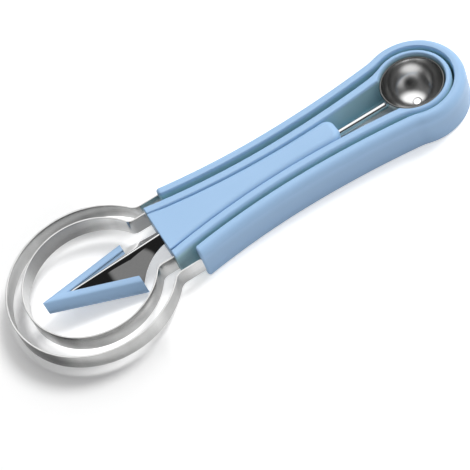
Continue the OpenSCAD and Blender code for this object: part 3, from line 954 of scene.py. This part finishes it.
def floor_glow(tree):
    """How much white the floor adds of itself, place by place."""
    place = node(tree, "TexCoord").outputs["Object"]
    axes = node(tree, "SeparateXYZ", None, {0: place}).outputs
    aside = maths(tree, "ABSOLUTE", axes["Y"])

    def distance(x):
        return node(tree, "VectorMath", {"operation": "DISTANCE"},
                    {0: place, 1: (x / 1000, 0, 0)}).outputs["Value"]

    glow = mix_value(tree, step(tree, distance(-MID_X), *INSIDE_EDGE), GLOW_LOOPS, GLOW_INSIDE)
    glow = mix_value(tree, step(tree, axes["X"], *HANDLES_EDGE), glow, GLOW_HANDLES)
    slot = maths(tree, "MULTIPLY", step(tree, aside, *SLOT_SIDE),
                 step(tree, axes["X"], *SLOT_START))
    slot = maths(tree, "MULTIPLY", slot, step(tree, axes["X"], *SLOT_END))
    glow = mix_value(tree, slot, glow, GLOW_SLOT)
    return mix_value(tree, step(tree, distance(HEAD_X - MID_X), *DRAIN_EDGE), glow, GLOW_DRAIN)


def add_floor():
    """White floor whose own white is seen directly, in mirrors and through glass alike."""
    corners = [(-1, -1, 0), (1, -1, 0), (1, 1, 0), (-1, 1, 0)]
    mesh = bpy.data.meshes.new("floor")
    mesh.from_pydata([Vector(c) * FLOOR_HALF for c in corners], [], [(0, 1, 2, 3)])
    floor = bpy.data.objects.new("floor", mesh)
    bpy.context.scene.collection.objects.link(floor)
    material = bpy.data.materials.new("floor")
    material.use_nodes = True
    tree = material.node_tree
    tree.nodes.clear()
    rays = node(tree, "LightPath").outputs
    mirrored_too = maths(tree, "MAXIMUM", rays["Is Glossy Ray"], rays["Is Transmission Ray"])
    seen = maths(tree, "MAXIMUM", rays["Is Camera Ray"], mirrored_too)
    glow = maths(tree, "MULTIPLY", seen, floor_glow(tree))
    white = node(tree, "BsdfDiffuse", None, {"Color": (*FLOOR_COLOUR, 1)})
    light = node(tree, "Emission", None, {"Color": (1, 1, 1, 1), "Strength": glow})
    both = node(tree, "AddShader", None, {0: white.outputs[0], 1: light.outputs[0]})
    node(tree, "OutputMaterial", None, {"Surface": both.outputs[0]})
    paint(floor, material)


def add_light():
    world = bpy.data.worlds.new("studio")
    bpy.context.scene.world = world
    world.use_nodes = True
    tree = world.node_tree
    direction = node(tree, "TexCoord").outputs["Generated"]
    level = STUDIO_LEVEL
    for middle, inner, outer, brightness in PANELS:
        near = node(tree, "VectorMath", {"operation": "DOT_PRODUCT"},
                    {0: direction, 1: Vector(middle).normalized()}).outputs["Value"]
        inside = step(tree, near, cos(radians(outer)), cos(radians(inner)))
        level = mix_value(tree, inside, level, brightness)
    set_inputs(tree, tree.nodes["Background"], {"Strength": level, "Color": (1, 1, 1, 1)})

    for name, shines_from, strength, angle in LAMPS:
        sun = bpy.data.lights.new(name, "SUN")
        sun.energy = strength
        sun.angle = angle
        lamp = bpy.data.objects.new(name, sun)
        lamp.rotation_euler = Vector(shines_from).to_track_quat("Z", "Y").to_euler()
        lamp.visible_glossy = False
        bpy.context.scene.collection.objects.link(lamp)


def build():
    blue = plastic("satin_blue_plastic", PLASTIC_SIDE_SHADE, *SIDE_SHADE_HEIGHTS)
    gap_shade_plastic = plastic("satin_blue_plastic_painted_gap_shade", PLASTIC_GAP_SHADE_TINT, *GAP_SHADE_HEIGHTS)
    outer, inner, knife = outer_handle(), inner_handle(), knife_handle()
    paint(outer, blue, gap_shade_plastic)
    # The walls round the outer handle's opening, and all of the inner handle, take the painted gap
    # shade tint
    paint_gap_shade_walls(outer, 1)
    paint(inner, gap_shade_plastic)
    paint(knife, blue)
    for piece in (outer, inner, knife):
        weighted(piece)
    paint(blade_guard(), blue)

    sheared = brushed("sheared_steel_edge", *SHEARED_EDGE)
    leg_d = KNIFE_FIT + INNER_WALL
    large = (OUTER_LOOP_R, OUTER_LEG_Y, OUTER_BEND_R, OUTER_END,
             flank_dir(leg_d + HANDLE_GAP, OUTER_END + TANG_L / 2))
    small = (INNER_LOOP_R, INNER_LEG_Y, INNER_BEND_R, KNIFE_END,
             flank_dir(leg_d, KNIFE_END + TANG_L / 2))
    for name, body, shape, painted_reflections in (("outer_loop", "outer_tool", large, OUTER_PAINTED_REFLECTIONS),
                                     ("inner_loop", "inner_tool", small, INNER_PAINTED_REFLECTIONS)):
        piece = band(name + "_band", body, name, *shape)
        # Places of the painted dark reflections along each band
        painted_reflection_places = [(band_place(shape, radians(a)), shape[0] * radians(half), strength)
                  for a, half, strength in painted_reflections]
        paint(piece, brushed("brushed_steel_" + name, *BAND_STEEL, painted_reflection_places), sheared)
        paint_level(piece, 1)

    paint(v_blade(), polished("mirror_steel", *MIRROR_STEEL))
    paint(baller_rod(), polished("rod_steel", *ROD_STEEL))
    bowl = baller_bowl()
    paint(bowl, polished("bowl_steel", *BOWL_STEEL), polished("rim_steel_painted_dark_reflection", *RIM_STEEL_PAINTED_DARK))
    # The rim's faces take the painted dark reflection
    for face in bowl.data.polygons:
        if face.center.z * 1000 > RIM_Z - BOWL_T / 2:
            face.material_index = 1


build()
add_floor()
add_light()
add_camera()

view_settings = bpy.context.scene.view_settings
view_settings.view_transform = "Standard"
